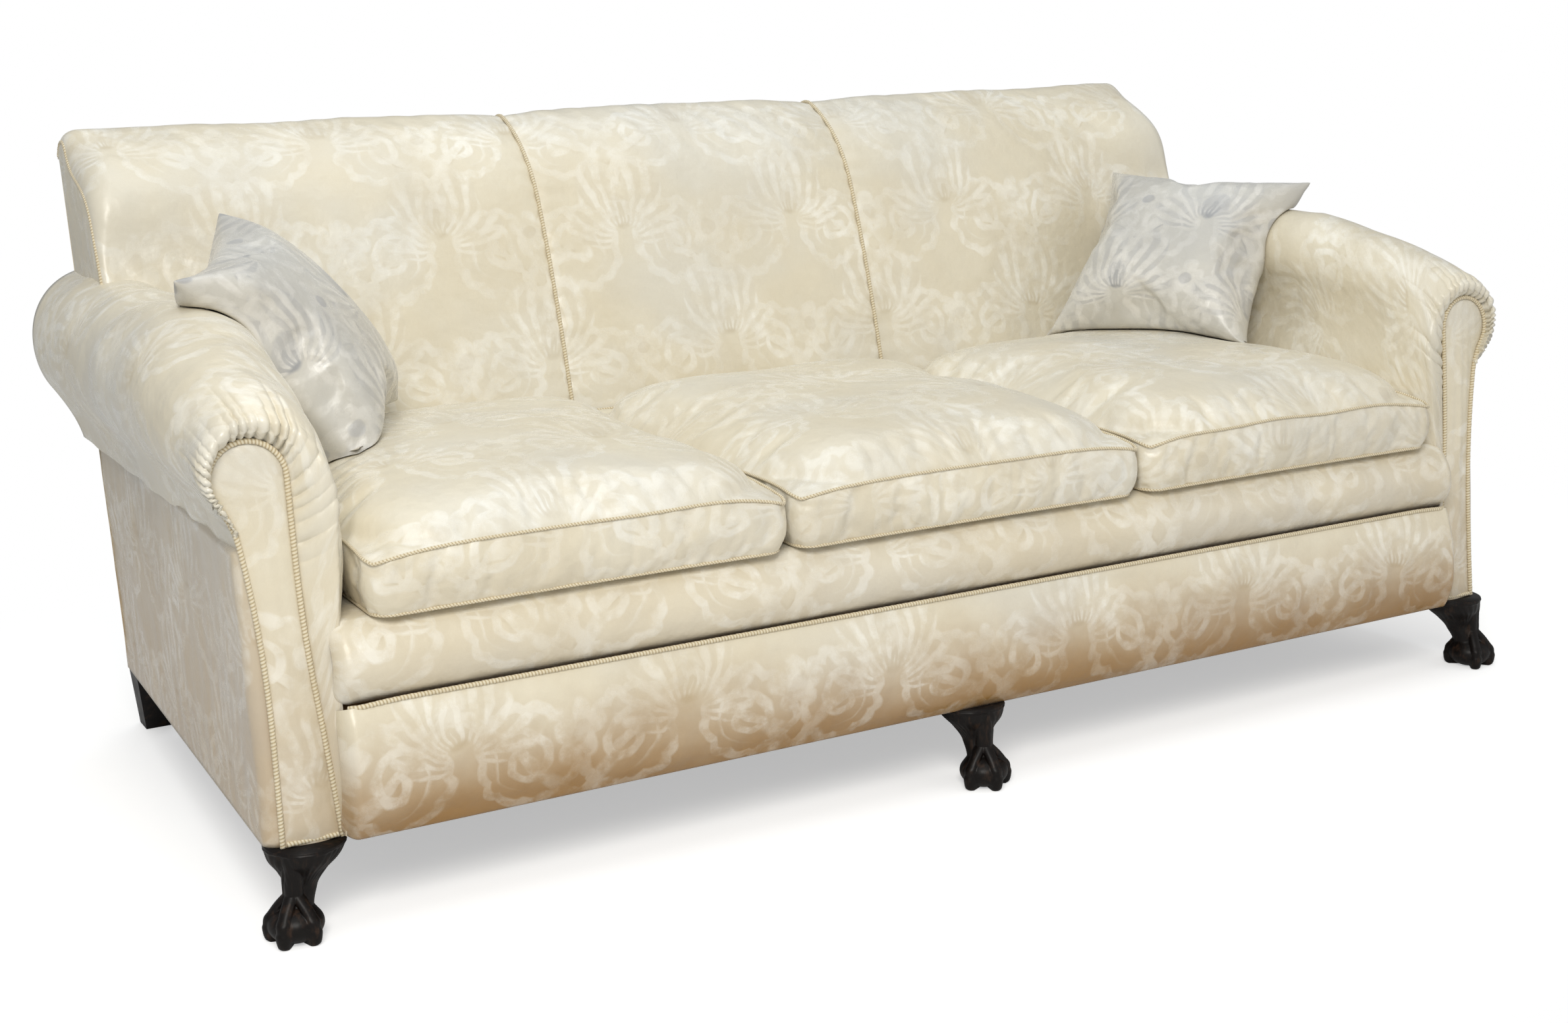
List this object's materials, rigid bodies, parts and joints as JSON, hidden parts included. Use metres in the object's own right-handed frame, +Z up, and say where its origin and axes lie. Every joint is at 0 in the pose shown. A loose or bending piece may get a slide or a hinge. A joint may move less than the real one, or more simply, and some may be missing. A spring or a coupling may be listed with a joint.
{
  "type": "sofa",
  "caption": "Upholstered scroll-arm sofa in cream damask with loose seat cushions, scatter cushions and carved claw-and-ball feet.",
  "frame": {"origin": "on the floor, under the middle of the overall width and depth", "axes": "+X to the right seen from the front, along the sofa's length; -Y the way the sofa faces; +Z up"},
  "size_m": [2.07, 1.0204, 0.8919],
  "materials": {
    "damask": "satin woven damask, ivory and champagne",
    "lilac_damask": "satin woven damask, silvery lilac",
    "cord": "twisted cord",
    "ebonised_wood": "black gloss",
    "beech": "planed, unfinished",
    "jute": "woven strap",
    "hessian": "open weave",
    "hair": "curled hair pad",
    "steel": "drawn wire",
    "calico": "plain weave",
    "dust_cloth": "plain weave, black",
    "feather": "feather filling"
  },
  "bodies": {
    "sofa": {"arm_cover_left": "damask", "arm_cover_right": "damask", "arm_facing_left": "damask", "arm_facing_right": "damask", "arm_posts": "beech", "arm_rails": "beech", "arm_stuffing_left": "hair", "arm_stuffing_right": "hair", "arm_welts": "cord", "back_end_facings": "damask", "back_hessian": "hessian", "back_low_rail": "beech", "back_posts": "beech", "back_rail": "beech", "back_seam_cords": "cord", "back_stiles": "beech", "back_stuffing": "hair", "back_webbing": "jute", "corner_blocks": "beech", "crest_rail": "beech", "dust_cover": "dust_cloth", "frame_dowels": "beech", "front_border": "damask", "front_leg_centre": "ebonised_wood", "front_leg_left": "ebonised_wood", "front_leg_right": "ebonised_wood", "front_lip": "damask", "front_rail": "beech", "front_welt": "cord", "inside_back_centre": "damask", "inside_back_left": "damask", "inside_back_right": "damask", "leg_bolts": "steel", "outside_arm_left": "damask", "outside_arm_right": "damask", "outside_back": "damask", "platform_cloth": "calico", "rear_leg_centre": "ebonised_wood", "rear_leg_left": "ebonised_wood", "rear_leg_right": "ebonised_wood", "seat_cross_rails": "beech", "seat_hessian": "hessian", "seat_springs": "steel", "seat_stuffing": "hair", "seat_webbing": "jute", "side_rails": "beech"},
    "scatter_cushion_left": {"scatter_cushion_left_cover": "lilac_damask", "scatter_cushion_left_filling": "feather"},
    "scatter_cushion_right": {"scatter_cushion_right_cover": "lilac_damask", "scatter_cushion_right_filling": "feather"},
    "seat_cushion_centre": {"seat_cushion_centre_cover": "damask", "seat_cushion_centre_filling": "feather", "seat_cushion_centre_piping": "cord"},
    "seat_cushion_left": {"seat_cushion_left_cover": "damask", "seat_cushion_left_filling": "feather", "seat_cushion_left_piping": "cord"},
    "seat_cushion_right": {"seat_cushion_right_cover": "damask", "seat_cushion_right_filling": "feather", "seat_cushion_right_piping": "cord"}
  },
  "joints": [
    {"name": "seat_cushion_left_lift", "type": "slide", "parent": "sofa", "child": "seat_cushion_left", "axis": [0, 0, 1], "range_m": [0, 0.6]},
    {"name": "seat_cushion_centre_lift", "type": "slide", "parent": "sofa", "child": "seat_cushion_centre", "axis": [0, 0, 1], "range_m": [0, 0.6]},
    {"name": "seat_cushion_right_lift", "type": "slide", "parent": "sofa", "child": "seat_cushion_right", "axis": [0, 0, 1], "range_m": [0, 0.6]},
    {"name": "scatter_cushion_left_lift", "type": "slide", "parent": "seat_cushion_left", "child": "scatter_cushion_left", "axis": [0, 0, 1], "range_m": [0, 0.6]},
    {"name": "scatter_cushion_right_lift", "type": "slide", "parent": "seat_cushion_right", "child": "scatter_cushion_right", "axis": [0, 0, 1], "range_m": [0, 0.6]}
  ]
}
